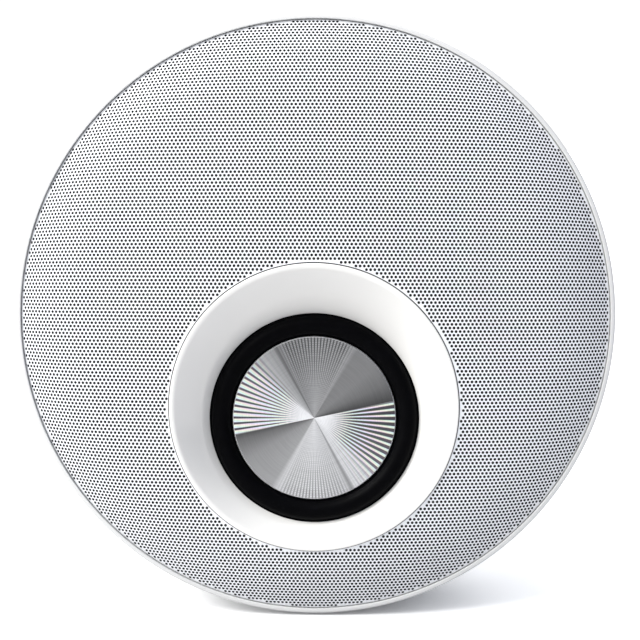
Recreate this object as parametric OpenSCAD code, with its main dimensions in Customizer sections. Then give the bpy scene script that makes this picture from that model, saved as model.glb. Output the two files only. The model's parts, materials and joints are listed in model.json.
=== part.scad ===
// Smart speaker: a round disc standing on its edge, leaning back on a rear stand.
// Every piece is drawn in the disc's own frame (X right, Y towards the back, Z up,
// origin at the centre of the front rim) and then leaned back over the floor.

/* [Housing] */
// Diameter over the front rim
speaker_d = 240; // [236:1:246]
// Angle the disc leans back
lean = 8; // [5:0.5:9]
// Width of the white lip around the grille
lip_w = 1.9; // [1.6:0.1:2.2]
// Draft of the housing wall towards the back
taper = 10; // [9.5:0.5:12]
// Depth of the housing behind the rim
back_y = 64; // [64:1:70]
// Wall thickness of the mouldings
wall = 2.4; // [2:0.1:2.8]
// Height of the rim above the floor
rim_gap = 1; // [0.8:0.1:1.6]

/* [Grille] */
// Radius of curvature of the grille's crown
crown_r = 451; // [440:1:470]
// Radius at which the crown turns into the shoulder
crown_to = 90; // [88:1:92]
// Radius of curvature of the grille's shoulder
shoulder_r = 73.7; // [72:0.1:76]
// Thickness of the grille sheet
sheet_t = 0.8; // [0.6:0.1:1]

/* [Woofer and trim ring] */
// Height of the woofer's axis below the centre
woofer_drop = 40.8; // [38:0.1:41]
// Radius of the recess where it meets the surround
recess_r = 41.4; // [41.3:0.1:42]
// Growth of the recess's radius for each millimetre of depth
recess_slope = 1.06; // [1:0.01:1.1]
// Width of the trim ring's lip
trim_w = 2.6; // [2.4:0.1:3]
// Radius of the aluminium disc
disc_r = 32.4; // [32:0.1:32.6]

/* [Side drivers] */
// Distance of each side driver from the middle
side_x = 54; // [52:1:56]
// Height of the side drivers above the centre
side_z = 44; // [42:1:46]

/* [Buttons] */
// Radius of a button's cap
button_r = 4.6; // [4:0.1:4.8]
// How far a button stands proud
button_proud = 0.9; // [0.6:0.1:1.2]
// Angle between neighbouring buttons around the rim
button_step = 13; // [12:0.5:14]

/* [Hidden] */
$fn = 96;
eps = 0.01;

// Rim, grille and dome
rim_r = speaker_d / 2;
grille_r = rim_r - lip_w - 0.1;
crown_a = asin(crown_to / crown_r);
shoulder_x = (crown_r - shoulder_r) * sin(crown_a);
rim_a = asin((grille_r - shoulder_x) / shoulder_r);
shoulder_y = shoulder_r * cos(rim_a);
crown_y = shoulder_y + (crown_r - shoulder_r) * cos(crown_a);
skirt_y = 3.5;
scrim_gap = 0.4;
scrim_t = 0.5;

// Housing
lip_y = -0.25;
ledge_y = 8;
ledge_t = 2.4;
ledge_r = grille_r - 9;
shell_screw_r = ledge_r - 0.6;
baffle_screw_r = ledge_r + 4;
seam_y = 24;
seam_gap = 0.8;
boss_r = 4.2;
pilot_r = 1.5;
clear_r = 1.7;
button_gap = 0.4;
light_r = 1.3;
shell_y = seam_y + seam_gap;
screw_seat_y = 30;
shell_rho = (back_y - shell_y) / (1 - sin(taper));
shell_cx = wall_r(shell_y) - shell_rho * cos(taper);
shell_cy = shell_y - shell_rho * sin(taper);
floor_h = rim_gap + rim_r * cos(lean);
depth_mid = 24.16;
stand_y = 44 - depth_mid;
stand_low = 1.5;

// Baffle and woofer, as depths behind the rim
baffle_y = 4;
baffle_t = 4;
pad_y = 0.6;
pad_r = 57;
trim_gap = 0.35;
flange_y = -3.4;
flange_t = 3;
surround_y = -4;
basket_r = 47.4;
woofer_ear_r = 52.5;
trim_boss_r = 51;
roll_x = 37.2;
roll_r = 4;
rubber_t = 0.6;
former_r = 12.5;
spider_y = 12;
motor_y = 22;
woofer_z = -woofer_drop;

// Side drivers
side_flange_y = 1.5;
side_flange_r = 34;
side_frame_r = 26.9;
side_screw_r = 31.2;
side_roll_x = 24.2;
side_roll_r = 2.2;

// Electronics and sockets
board_y = 50;
board_t = 1.6;
board_w = 104;
board_low = -66;
board_high = -14;
panel_z = -38;
panel_face = back_y - 0.6;
port_z = 36;
port_r = 13;
flare = 6;
button_y = 17.2;
inlet_x = -22;
audio_x = 22;
service_x = 8;
slider_x = -6;
slider_back = back_y - wall - 4;

// Radius of the housing's outer wall at a depth y behind the rim
function wall_r(y) = rim_r - y * tan(taper);
// Point on a cubic curve from a to d
function curve(a, b, c, d, t) =
    pow(1 - t, 3) * a + 3 * t * pow(1 - t, 2) * b + 3 * t * t * (1 - t) * c + pow(t, 3) * d;
function unit(v) = v / norm(v);

// ---- Placing helpers ----
module leaned() {
    translate([0, -depth_mid, floor_h])
        rotate([-lean, 0, 0])
            children();
}
// Turns a profile drawn as [radius, depth] about an axis parallel to the disc's own
module turned(x = 0, z = 0) {
    translate([x, 0, z])
        rotate([-90, 0, 0])
            rotate_extrude()
                children();
}
module turned_woofer() {
    turned(0, woofer_z) children();
}
module bar(r, y0, y1, x = 0, z = 0) {
    translate([x, y0, z])
        rotate([-90, 0, 0])
            cylinder(r = r, h = y1 - y0);
}
module block(x0, x1, y0, y1, z0, z1) {
    translate([x0, y0, z0])
        cube([x1 - x0, y1 - y0, z1 - z0]);
}
module ring_2d(r0, r1, y0, y1) {
    translate([r0, y0])
        square([r1 - r0, y1 - y0]);
}
// Places things around an axis parallel to the disc's own
module around(count, radius, first = 0, x = 0, z = 0) {
    for (i = [0:count - 1])
        translate([x, 0, z])
            rotate([0, first + i * 360 / count, 0])
                translate([0, 0, radius])
                    children();
}
// Stands its children on the outside of the housing wall, Z along the wall's normal
module on_wall(angle, y) {
    rotate([0, angle, 0])
        translate([0, y, wall_r(y)])
            rotate([-taper, 0, 0])
                children();
}
module rounded_plate(w, d, r) {
    inner_w = w / 2 - r;
    inner_d = d / 2 - r;
    square([w, 2 * inner_d], center = true);
    square([2 * inner_w, d], center = true);
    for (sx = [-1, 1])
        for (sy = [-1, 1])
            translate([sx * inner_w, sy * inner_d])
                circle(r = r);
}
// A rounded plate standing in the back wall, from depth y0 to y1
module back_plate(w, h, r, y0, y1, x, z) {
    translate([x, y0, z])
        rotate([-90, 0, 0])
            linear_extrude(y1 - y0)
                rounded_plate(w, h, r);
}
module screw(head_r, head_t, shaft_r, length) {
    difference() {
        union() {
            bar(head_r, -head_t, 0);
            bar(shaft_r, -eps, length);
        }
        block(-head_r * 0.6, head_r * 0.6, -head_t - 1, -head_t / 2, -0.3, 0.3);
        block(-0.3, 0.3, -head_t - 1, -head_t / 2, -head_r * 0.6, head_r * 0.6);
    }
}

// ---- Shared outlines ----
module wedge_2d(x, y, a0, a1, reach) {
    translate([x, y])
        polygon([
            [0, 0],
            [reach * sin(a0), -reach * cos(a0)],
            [reach * sin(a1), -reach * cos(a1)]
        ]);
}
// Everything behind the dome's surface, moved outwards by offset_out, as far back as the baffle
module dome_fill_2d(offset_out) {
    intersection() {
        union() {
            intersection() {
                translate([0, crown_y]) circle(r = crown_r + offset_out, $fn = 360);
                wedge_2d(0, crown_y, 0, crown_a, crown_r * 1.3);
            }
            intersection() {
                translate([shoulder_x, shoulder_y]) circle(r = shoulder_r + offset_out, $fn = 360);
                translate([shoulder_x, -60]) square([60, 200]);
            }
            ring_2d(0, shoulder_x + 1, -12, 60);
        }
        ring_2d(0, grille_r, -40, baffle_y + 6);
    }
}
// Skin under the dome's surface, between two offsets from it (positive is outwards)
module dome_skin_2d(outer, inner) {
    difference() {
        dome_fill_2d(outer);
        dome_fill_2d(inner);
    }
}
// Solid cone of the recess, its wall offset outwards by grow
module recess_cone(grow) {
    tip = recess_r + surround_y * recess_slope + grow;
    far = 40;
    turned_woofer()
        polygon([
            [0, -far],
            [tip + far * recess_slope, -far],
            [recess_r + grow, surround_y],
            [0, surround_y]
        ]);
}
// Outside of the rear shell, offset outwards by grow
module drum_2d(grow) {
    translate([0, shell_y]) square([shell_cx, back_y + grow - shell_y]);
    intersection() {
        translate([shell_cx, shell_cy]) circle(r = shell_rho + grow, $fn = 180);
        translate([0, shell_y]) square([rim_r, back_y]);
    }
}
// Everything that the closed housing fills, used to fit the stand and the feet to it
module whole_housing() {
    turned($fn = 360) {
        polygon([[0, 0], [rim_r, 0], [wall_r(shell_y), shell_y], [0, shell_y]]);
        drum_2d(0);
    }
}
module half_roll_2d(x, y, r, t) {
    intersection() {
        difference() {
            translate([x, y]) circle(r = r);
            translate([x, y]) circle(r = r - t);
        }
        translate([x - r, y - r]) square([2 * r, r]);
    }
}

// ---- Housing ----
module front_housing() {
    color("whitesmoke")
        leaned()
            difference() {
                union() {
                    turned() housing_wall_2d();
                    around(6, shell_screw_r, 30) bar(boss_r, ledge_y, seam_y);
                }
                for (i = [-1.5:1:1.5])
                    on_wall(i * button_step, button_y)
                        cylinder(r = button_r + button_gap, h = 12, center = true);
                on_wall(0, button_y)
                    cylinder(r = light_r + 0.1, h = 12, center = true);
                around(6, shell_screw_r, 30) bar(pilot_r, ledge_y + 4, seam_y + 1);
                around(6, baffle_screw_r, 0) bar(pilot_r - 0.1, ledge_y - 1, ledge_y + ledge_t + 1);
            }
}
module housing_wall_2d() {
    inner = grille_r + 0.15;
    seat = grille_r - 0.7;
    groove_y = skirt_y + 0.4;
    translate([(rim_r + inner) / 2, lip_y]) circle(r = (rim_r - inner) / 2);
    polygon([
        [inner, lip_y], [rim_r, lip_y], [rim_r, 0], [wall_r(seam_y), seam_y],
        [wall_r(seam_y) - wall, seam_y], [wall_r(ledge_y + ledge_t) - wall, ledge_y + ledge_t],
        [ledge_r, ledge_y + ledge_t], [ledge_r, ledge_y], [seat, ledge_y],
        [seat, groove_y], [inner, groove_y]
    ]);
}
module baffle() {
    color("dimgray")
        leaned()
            difference() {
                union() {
                    turned() ring_2d(0, grille_r - 1, baffle_y, baffle_y + baffle_t);
                    bar(pad_r, pad_y, baffle_y + eps, 0, woofer_z);
                }
                bar(basket_r - 5.2, -20, 20, 0, woofer_z);
                for (s = [-1, 1])
                    bar(side_frame_r + 1.7, -20, 20, s * side_x, side_z);
                around(4, woofer_ear_r, 45, 0, woofer_z) bar(1.6, -5, 7);
                around(4, trim_boss_r, 0, 0, woofer_z) bar(clear_r, -5, 20);
                around(6, baffle_screw_r, 0) bar(clear_r, 0, 20);
                for (s = [-1, 1])
                    around(4, side_screw_r, 45, s * side_x, side_z) bar(1.3, 0, 7);
            }
}
module grille() {
    color("white")
        leaned()
            difference() {
                turned() {
                    dome_skin_2d(0, -sheet_t);
                    ring_2d(grille_r - sheet_t, grille_r, 0.3, skirt_y);
                }
                recess_cone(trim_w + trim_gap);
            }
}
module acoustic_scrim() {
    scrim_in = -sheet_t - scrim_gap;
    color("dimgray")
        leaned()
            difference() {
                turned()
                    intersection() {
                        dome_skin_2d(scrim_in, scrim_in - scrim_t);
                        ring_2d(0, grille_r - 2.5, -40, baffle_y);
                    }
                recess_cone(trim_w + trim_gap + 0.05);
            }
}
module trim_ring() {
    proud = 0.6;
    foot_y = -7.5;
    foot_out = 49;
    foot_in = recess_r + trim_w;
    color("white")
        leaned()
            difference() {
                union() {
                    difference() {
                        intersection() {
                            recess_cone(trim_w);
                            turned() dome_fill_2d(proud);
                        }
                        recess_cone(0);
                    }
                    turned_woofer() ring_2d(foot_in, foot_out, foot_y, flange_y);
                    around(4, trim_boss_r, 0, 0, woofer_z) bar(3.2, foot_y - 0.5, pad_y);
                }
                recess_cone(0);
                around(4, trim_boss_r, 0, 0, woofer_z) bar(pilot_r, foot_y + 2, pad_y + 1);
            }
}
module rear_shell() {
    color("whitesmoke")
        leaned()
            difference() {
                union() {
                    turned()
                        difference() {
                            drum_2d(0);
                            drum_2d(-wall);
                        }
                    intersection() {
                        turned() drum_2d(0);
                        union() {
                            around(6, shell_screw_r, 30) bar(boss_r, shell_y, back_y);
                            board_screw_places() bar(3, board_y + board_t, back_y - 1);
                            flat_to_floor() stand_screw_places() cylinder(r = 4, h = 22);
                        }
                    }
                }
                around(6, shell_screw_r, 30) bar(clear_r, 0, 90);
                around(6, shell_screw_r, 30) bar(3.6, screw_seat_y, 90);
                flat_to_floor() stand_screw_places() cylinder(r = 1.4, h = 20);
                board_screw_places() bar(1.2, board_y, board_y + 8);
                bar(port_r + flare + 0.05, 40, 90, 0, port_z);
                back_plate(64, 18, 4, 50, 90, 0, panel_z);
            }
}
module board_screw_places() {
    inset = 4;
    for (sx = [-1, 1])
        for (z = [board_low + inset, board_high - inset])
            translate([sx * 47, 0, z])
                children();
}
// Undoes the lean, so that its children are drawn upright over the floor
module flat_to_floor() {
    rotate([lean, 0, 0])
        translate([0, depth_mid, -floor_h])
            children();
}
module shell_gasket() {
    color("black")
        leaned()
            turned() ring_2d(wall_r(shell_y) - wall + 0.2, wall_r(shell_y) - 0.9, seam_y, shell_y);
}
module bass_port() {
    tube_y = 16;
    tube_t = 2;
    mouth = flare - 0.6;
    color("dimgray")
        leaned()
            turned(0, port_z)
                difference() {
                    union() {
                        ring_2d(port_r, port_r + tube_t, tube_y, back_y);
                        ring_2d(port_r, port_r + flare, back_y - flare, back_y);
                    }
                    difference() {
                        ring_2d(port_r - 1, port_r + mouth, back_y - flare, back_y + 1);
                        translate([port_r + mouth, back_y - flare]) circle(r = mouth);
                    }
                }
}

// ---- Stand and feet ----
module stand_screw_places() {
    for (sx = [-1, 1])
        translate([sx * 24, stand_y - 5, 5])
            children();
}
module rear_stand() {
    half_w = 40;
    front_y = 22 - depth_mid;
    rear_y = 60 - depth_mid;
    color("whitesmoke")
        difference() {
            intersection() {
                translate([0, (front_y + rear_y) / 2, stand_low])
                    linear_extrude(40)
                        rounded_plate(2 * half_w, rear_y - front_y, 9);
                translate([-half_w - 5, 0, 0])
                    rotate([90, 0, 90])
                        linear_extrude(2 * half_w + 10)
                            polygon([
                                [front_y, stand_low], [rear_y, stand_low], [rear_y - 1, 9],
                                [rear_y - 9, 27], [front_y, 27]
                            ]);
            }
            leaned() whole_housing();
            stand_screw_places() translate([0, 0, -5]) cylinder(r = 3.4, h = 5);
            stand_screw_places() cylinder(r = 1.7, h = 30);
        }
}
module front_foot_pad() {
    color("dimgray")
        difference() {
            translate([0, 0.5 - depth_mid, 0])
                linear_extrude(8)
                    rounded_plate(56, 10, 4);
            leaned() whole_housing();
        }
}
module rear_foot_pads() {
    color("dimgray")
        for (sx = [-1, 1])
            translate([sx * 24, stand_y + 8, 0])
                linear_extrude(stand_low)
                    rounded_plate(26, 9, 4);
}

// ---- Woofer ----
module woofer_basket() {
    back_r = 28;
    color("darkslategray")
        leaned()
            difference() {
                union() {
                    turned_woofer() {
                        ring_2d(41.3, basket_r, flange_y, flange_y + flange_t);
                        polygon([
                            [40.2, -1], [41.9, -1], [41.9, 0.6], [back_r + 0.6, motor_y],
                            [14.5, motor_y], [14.5, motor_y - 1.6], [back_r - 1.4, motor_y - 1.6]
                        ]);
                        ring_2d(25, 32, spider_y + 0.6, spider_y + 2.2);
                    }
                    around(4, woofer_ear_r, 45, 0, woofer_z) bar(6.2, flange_y, flange_y + flange_t);
                    block(24, 36, motor_y - 1.6, motor_y, woofer_z - 6, woofer_z + 6);
                }
                around(4, 0, 45, 0, woofer_z) block(-11, 11, 3, spider_y, 10, 60);
                around(4, 0, 45, 0, woofer_z) block(-8, 8, spider_y + 3.4, motor_y - 2.6, 10, 60);
                around(4, woofer_ear_r, 45, 0, woofer_z) bar(clear_r, -10, 10);
            }
}
module woofer_gasket() {
    color("black")
        leaned()
            turned_woofer() ring_2d(basket_r - 5, basket_r - 0.2, flange_y + flange_t, pad_y);
}
module woofer_top_plate() {
    color("silver")
        leaned()
            turned_woofer() ring_2d(former_r + 1.4, 28, motor_y, motor_y + 4);
}
module woofer_magnet() {
    color("darkslategray")
        leaned()
            turned_woofer() ring_2d(17, 30, motor_y + 4, motor_y + 15);
}
module woofer_yoke() {
    color("silver")
        leaned()
            turned_woofer() {
                ring_2d(0, 28, motor_y + 15, motor_y + 19);
                ring_2d(0, former_r - 0.5, motor_y - 0.5, motor_y + 15 + eps);
            }
}
module woofer_terminals() {
    color("goldenrod")
        leaned() {
            block(30.5, 36, motor_y, motor_y + 2, woofer_z - 5, woofer_z + 5);
            for (s = [-1, 1])
                block(33, 34, motor_y + 2 - eps, motor_y + 5, woofer_z + s * 3 - 1, woofer_z + s * 3 + 1);
        }
}
module woofer_disc() {
    edge = 0.6;
    color("silver")
        leaned()
            turned_woofer()
                polygon([
                    [0, surround_y - 1], [disc_r - edge, surround_y - 1],
                    [disc_r, surround_y - 1 + edge], [disc_r, surround_y], [0, surround_y]
                ]);
}
module woofer_cone() {
    top_y = surround_y + rubber_t;
    color("black")
        leaned()
            turned_woofer()
                polygon([
                    [31.3, top_y], [32.3, top_y], [former_r + 1.1, 9.6],
                    [former_r + 0.4, 9.6], [former_r + 0.4, 8.8]
                ]);
}
module woofer_former() {
    color("peru")
        leaned()
            turned_woofer() ring_2d(former_r, former_r + 0.4, 8.4, 29);
}
module woofer_winding() {
    color("orange")
        leaned()
            turned_woofer() ring_2d(former_r + 0.4, former_r + 0.9, 20, 28);
}
module woofer_surround() {
    color("black")
        leaned()
            turned_woofer() {
                ring_2d(roll_x + roll_r - rubber_t, 43.8, surround_y, surround_y + rubber_t);
                half_roll_2d(roll_x, surround_y + rubber_t, roll_r, rubber_t);
                ring_2d(31.4, roll_x - roll_r + rubber_t, surround_y, surround_y + rubber_t);
            }
}
module woofer_spider() {
    inner = former_r + 0.4;
    pitch = 1.75;
    waves = 7;
    top = [for (i = [0:waves]) [inner + i * pitch, spider_y + (i % 2 == 0 ? 0 : -0.8)]];
    under = [for (i = [waves:-1:0]) [inner + i * pitch, spider_y + 0.5 + (i % 2 == 0 ? 0 : -0.8)]];
    color("peru")
        leaned()
            turned_woofer() {
                polygon(concat(top, under));
                ring_2d(inner + waves * pitch - 0.2, 30, spider_y - 0.8, spider_y + 0.6);
            }
}

// ---- Side drivers: side is -1 on the left and 1 on the right ----
module side_turned(side) {
    turned(side * side_x, side_z) children();
}
module driver_frame(side) {
    motor_front = 14;
    color("darkslategray")
        leaned()
            difference() {
                side_turned(side) {
                    ring_2d(side_frame_r, side_flange_r, side_flange_y, baffle_y);
                    polygon([
                        [side_frame_r, baffle_y - 1], [side_frame_r + 1.3, baffle_y - 1],
                        [20.4, motor_front + 1],
                        [10.4, motor_front], [10.4, motor_front - 1.4], [19.4, motor_front - 1.4]
                    ]);
                }
                around(4, side_screw_r, 45, side * side_x, side_z) bar(1.4, 0, 9);
                around(3, 0, 0, side * side_x, side_z) block(-7, 7, 5.2, motor_front - 3, 10, 40);
            }
}
module driver_motor(side) {
    color("silver")
        leaned()
            side_turned(side)
                difference() {
                    ring_2d(0, 19, 15, 26);
                    ring_2d(7.4, 9.6, 14, 23);
                }
}
module driver_cone(side) {
    color("black")
        leaned()
            side_turned(side) {
                polygon([[21, side_flange_y], [22, side_flange_y], [9.3, 9], [8.4, 9], [8.4, 8.4]]);
                intersection() {
                    difference() {
                        translate([0, 13]) circle(r = 11.4);
                        translate([0, 13]) circle(r = 10.8);
                    }
                    ring_2d(0, 9.2, 0, 6.4);
                }
                ring_2d(8.4, 9.4, 5.9, 9);
            }
}
module driver_coil(side) {
    color("orange")
        leaned()
            side_turned(side) {
                ring_2d(8, 8.4, 7, 18);
                ring_2d(8.2, 8.9, 14, 18);
            }
}
module driver_surround(side) {
    low = side_flange_y - rubber_t;
    color("black")
        leaned()
            side_turned(side) {
                ring_2d(side_roll_x + side_roll_r - 0.5, 28.4, low, side_flange_y);
                half_roll_2d(side_roll_x, side_flange_y, side_roll_r, 0.5);
                ring_2d(20.6, side_roll_x - side_roll_r + 0.5, low, side_flange_y);
            }
}
module left_driver_frame() driver_frame(-1);
module left_driver_motor() driver_motor(-1);
module left_driver_cone() driver_cone(-1);
module left_driver_coil() driver_coil(-1);
module left_driver_surround() driver_surround(-1);
module right_driver_frame() driver_frame(1);
module right_driver_motor() driver_motor(1);
module right_driver_cone() driver_cone(1);
module right_driver_coil() driver_coil(1);
module right_driver_surround() driver_surround(1);

// ---- Electronics ----
module main_board() {
    front = board_y;
    color("seagreen")
        leaned()
            difference() {
                union() {
                    block(-board_w / 2, board_w / 2, front, front + board_t, board_low, board_high);
                    block(-12, 12, front - 1.4, front + eps, -52, -28);
                    block(-30, -20, front - 2, front + eps, -34, -22);
                    for (i = [0:2])
                        bar(3.2, front - 9, front + eps, -44, -28 - i * 9);
                    for (x = [32, 40])
                        block(x - 3, x + 3, front - 4, front + eps, -26, -20);
                    block(slider_x - 5, slider_x + 5, front + board_t - eps, slider_back - 0.4,
                        panel_z - 3, panel_z + 3);
                }
                board_screw_places() bar(1.5, 0, 90);
            }
}
module amplifier_heat_sink() {
    fins = 6;
    color("gray")
        leaned()
            translate([34, board_y - 9, -54]) {
                translate([0, 7, 0]) cube([12, 2, 22]);
                for (i = [0:fins - 1])
                    translate([i * (12 - 1) / (fins - 1), 0, 0]) cube([1, 7 + eps, 22]);
            }
}
module microphone_board() {
    mic_z = 90;
    color("seagreen")
        leaned() {
            block(-22, 22, baffle_y - board_t, baffle_y, mic_z - 5, mic_z + 5);
            for (s = [-1, 1])
                block(s * 17 - 2, s * 17 + 2, baffle_y - 2.7, baffle_y - board_t + eps,
                    mic_z - 1.5, mic_z + 1.5);
        }
}
module button_board() {
    strip_r = wall_r(button_y) - 10;
    reach = rim_r;
    half_a = 1.5 * button_step + 5;
    color("seagreen")
        leaned() {
            intersection() {
                turned() ring_2d(strip_r, strip_r + 0.8, button_y - 6, button_y + 6.4);
                rotate([-90, 0, 0])
                    linear_extrude(60)
                        polygon([
                            [0, 0], [-reach * sin(half_a), -reach * cos(half_a)],
                            [0, -1.2 * reach], [reach * sin(half_a), -reach * cos(half_a)]
                        ]);
            }
            for (i = [-1.5:1:1.5])
                on_wall(i * button_step, button_y) {
                    translate([-3, -3, -10]) cube([6, 6, 3]);
                    translate([0, 0, -7 - eps]) cylinder(r = 1.7, h = 0.7);
                }
        }
}
module status_light() {
    color("lightcyan")
        leaned()
            on_wall(0, button_y) {
                translate([0, 0, -8.4]) cylinder(r = light_r, h = 8.4);
                translate([0, 0, -8.4]) cylinder(r = 2.4, h = 5);
            }
}

// ---- Sockets on the back ----
module socket_panel() {
    color("dimgray")
        leaned()
            difference() {
                union() {
                    back_plate(63.6, 17.6, 3.8, back_y - wall - eps, panel_face, 0, panel_z);
                    back_plate(68, 22, 5, back_y - wall - 1.4, back_y - wall, 0, panel_z);
                }
                bar(4.3, 40, 90, inlet_x, panel_z);
                bar(3.2, 40, 90, audio_x, panel_z);
                back_plate(9.4, 3.6, 1.6, 40, 90, service_x, panel_z);
                back_plate(9, 3.4, 0.6, 40, 90, slider_x, panel_z);
            }
}
module power_inlet() {
    color("black")
        leaned()
            translate([inlet_x, 0, panel_z])
                difference() {
                    union() {
                        block(-5, 5, board_y + board_t, 60, -5, 5);
                        bar(4.1, 60 - eps, panel_face - 0.2);
                    }
                    difference() {
                        bar(2.75, panel_face - 9, panel_face + 1);
                        bar(1, panel_face - 10, panel_face - 1);
                    }
                }
}
module audio_socket() {
    color("black")
        leaned()
            translate([audio_x, 0, panel_z])
                difference() {
                    union() {
                        block(-4, 4, board_y + board_t, 60, -4, 4);
                        bar(3, 60 - eps, panel_face + 0.1);
                    }
                    bar(1.75, panel_face - 11, panel_face + 1);
                }
}
module service_socket() {
    color("silver")
        leaned()
            difference() {
                back_plate(9, 3.2, 1.4, board_y + board_t, panel_face - 0.2, service_x, panel_z);
                back_plate(8.3, 2.5, 1.1, panel_face - 6.5, panel_face + 1, service_x, panel_z);
            }
}
module damping_felt() {
    color("gray")
        leaned()
            difference() {
                turned() ring_2d(0, 66, back_y - wall - 3, back_y - wall);
                bar(port_r + 8, 40, 90, 0, port_z);
                block(-80, 80, 40, 90, -80, -4);
            }
}

// ---- Internal leads ----
// Round tube through the points of a cubic curve, a ring at each step
module lead(a, b, c, d, r) {
    steps = 12;
    sides = 8;
    path = [for (i = [0:steps]) curve(a, b, c, d, i / steps)];
    dirs = [for (i = [0:steps]) unit(path[min(i + 1, steps)] - path[max(i - 1, 0)])];
    across = [for (i = [0:steps]) unit(cross(dirs[i], [0.2, 0.3, 1]))];
    points = [for (i = [0:steps])
        for (j = [0:sides - 1])
            path[i] + r * (cos(j * 360 / sides) * across[i]
                + sin(j * 360 / sides) * cross(dirs[i], across[i]))];
    walls = [for (i = [0:steps - 1])
        for (j = [0:sides - 1])
            [i * sides + j, i * sides + (j + 1) % sides,
                (i + 1) * sides + (j + 1) % sides, (i + 1) * sides + j]];
    ends = [[for (j = [sides - 1:-1:0]) j], [for (j = [0:sides - 1]) steps * sides + j]];
    polyhedron(points, concat(walls, ends));
}
module woofer_lead() {
    color("firebrick")
        leaned()
            lead([33.5, 27.2, woofer_z + 3], [33.5, 34, woofer_z + 3], [32, 38, -23], [32, 45.4, -23], 1.2);
}
module left_driver_lead() {
    color("firebrick")
        leaned()
            lead([-54, 26.2, 36], [-54, 46, 36], [-25, 30, -24], [-25, 47.4, -24], 1);
}
module right_driver_lead() {
    color("firebrick")
        leaned()
            lead([54, 26.2, 36], [54, 44, 36], [40, 30, -21], [40, 45.4, -21], 1);
}

// ---- Controls ----
module button(index) {
    flange_r = 5.8;
    edge = 0.5;
    color("white")
        leaned()
            on_wall((index - 1.5) * button_step, button_y)
                rotate_extrude() {
                    translate([0, -4]) square([flange_r, 1]);
                    translate([0, -3 - eps]) square([button_r, 3 + button_proud - edge]);
                    translate([0, -3]) square([button_r - edge, 3 + button_proud]);
                    translate([button_r - edge, button_proud - edge]) circle(r = edge);
                    translate([0, -5.2]) square([1.6, 1.3]);
                }
}
module volume_down_button() button(0);
module voice_button() button(1);
module power_button() button(2);
module volume_up_button() button(3);
module mute_slider() {
    color("orangered")
        leaned() {
            back_plate(5, 2.8, 0.5, back_y - wall - 1.6, panel_face + 0.3, slider_x + 1.6, panel_z);
            back_plate(6, 5, 0.5, slider_back, slider_back + 2.2, slider_x + 1.6, panel_z);
            block(slider_x + 0.6, slider_x + 2.6, slider_back + 2, slider_back + 3,
                panel_z - 1, panel_z + 1);
        }
}

// ---- Fasteners ----
module shell_screws() {
    color("silver")
        leaned()
            around(6, shell_screw_r, 30)
                translate([0, screw_seat_y, 0])
                    rotate([180, 0, 0])
                        screw(3.2, 2, 1.4, 16);
}
module baffle_screws() {
    color("silver")
        leaned()
            around(6, baffle_screw_r, 0)
                translate([0, baffle_y, 0])
                    screw(2.6, 1.6, 1.3, 6);
}
module trim_screws() {
    color("silver")
        leaned()
            around(4, trim_boss_r, 0, 0, woofer_z)
                translate([0, baffle_y + baffle_t, 0])
                    rotate([180, 0, 0])
                        screw(2.8, 1.6, 1.4, 12);
}
module woofer_screws() {
    color("silver")
        leaned()
            around(4, woofer_ear_r, 45, 0, woofer_z)
                translate([0, flange_y, 0])
                    screw(2.8, 1.6, 1.5, 9);
}
module side_driver_screws() {
    color("silver")
        leaned()
            for (s = [-1, 1])
                around(4, side_screw_r, 45, s * side_x, side_z)
                    translate([0, side_flange_y, 0]) screw(2.2, 1.4, 1.2, 5);
}
module board_screws() {
    color("silver")
        leaned()
            board_screw_places()
                translate([0, board_y, 0])
                    screw(2.6, 1.6, 1.1, 8);
}
module stand_screws() {
    color("silver")
        stand_screw_places()
            rotate([90, 0, 0]) screw(3, 2, 1.3, 12);
}

front_housing();
baffle();
grille();
acoustic_scrim();
trim_ring();
rear_shell();
shell_gasket();
rear_stand();
front_foot_pad();
rear_foot_pads();
bass_port();
woofer_basket();
woofer_gasket();
woofer_top_plate();
woofer_magnet();
woofer_yoke();
woofer_terminals();
woofer_disc();
woofer_cone();
woofer_former();
woofer_winding();
woofer_surround();
woofer_spider();
left_driver_frame();
left_driver_motor();
left_driver_cone();
left_driver_coil();
left_driver_surround();
right_driver_frame();
right_driver_motor();
right_driver_cone();
right_driver_coil();
right_driver_surround();
main_board();
amplifier_heat_sink();
microphone_board();
button_board();
status_light();
socket_panel();
power_inlet();
audio_socket();
service_socket();
damping_felt();
woofer_lead();
left_driver_lead();
right_driver_lead();
volume_down_button();
voice_button();
power_button();
volume_up_button();
mute_slider();
shell_screws();
baffle_screws();
trim_screws();
woofer_screws();
side_driver_screws();
board_screws();
stand_screws();
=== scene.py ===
import json
import math

import bmesh
import bpy
import numpy as np
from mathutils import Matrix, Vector
from mathutils.geometry import delaunay_2d_cdt

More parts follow.
